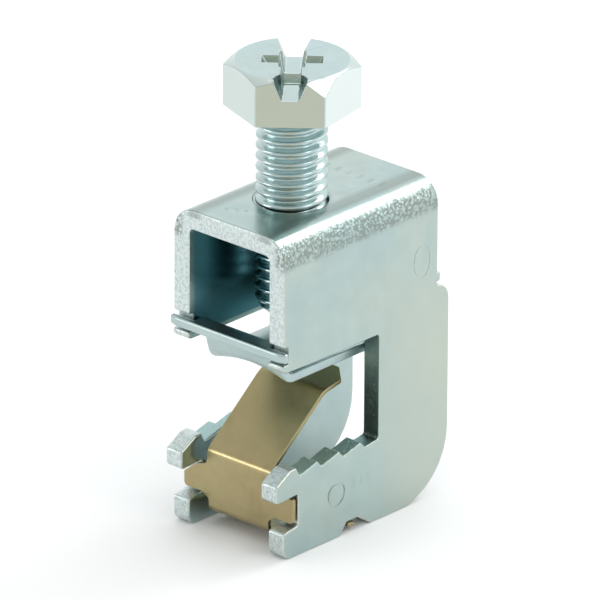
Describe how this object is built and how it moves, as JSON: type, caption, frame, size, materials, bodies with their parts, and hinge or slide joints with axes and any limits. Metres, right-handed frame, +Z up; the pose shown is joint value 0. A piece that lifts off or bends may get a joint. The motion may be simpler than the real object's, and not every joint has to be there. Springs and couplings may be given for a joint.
{
  "type": "busbar terminal clamp",
  "caption": "Screw clamp bent from thick sheet steel that grips an earth bar in its jaw and a conductor in the chamber above it.",
  "frame": {"origin": "middle of the footprint, on the surface that the lower arms stand on", "axes": "+Z up along the screw, -Y out of the jaw's mouth, +Y towards the spine, X across the two walls"},
  "size_m": [0.0168, 0.0278, 0.0534],
  "materials": {
    "zinc_bracket": "bright bluish zinc plating with fine shear grain on the cut edges",
    "zinc_screw": "bright zinc plating on a rolled thread and a cold-headed hexagon",
    "zinc_plate": "bright zinc plating, satin",
    "spring_bronze": "dull greenish bronze strip with fine rolling lines"
  },
  "bodies": {
    "frame": {"bracket": "zinc_bracket", "spring_clip": "spring_bronze"},
    "screw": {"clamp_screw": "zinc_screw"},
    "plate": {"pressure_plate": "zinc_plate"},
    "leaf": {"spring_leaf": "spring_bronze"}
  },
  "joints": [
    {"name": "screw_feed", "type": "slide", "parent": "frame", "child": "screw", "axis": [0, 0, 1], "range_m": [-0.0028, 0.0105]},
    {"name": "plate_lift", "type": "slide", "parent": "frame", "child": "plate", "axis": [0, 0, 1], "range_m": [0, 0.0005]},
    {"name": "leaf_press", "type": "hinge", "parent": "frame", "child": "leaf", "pos_m": [0, -0.0105, 0.0092], "axis": [1, 0, 0], "range_deg": [-36, 0], "stiffness_Nm_per_rad": 0.15, "springref_deg": 2.86}
  ]
}
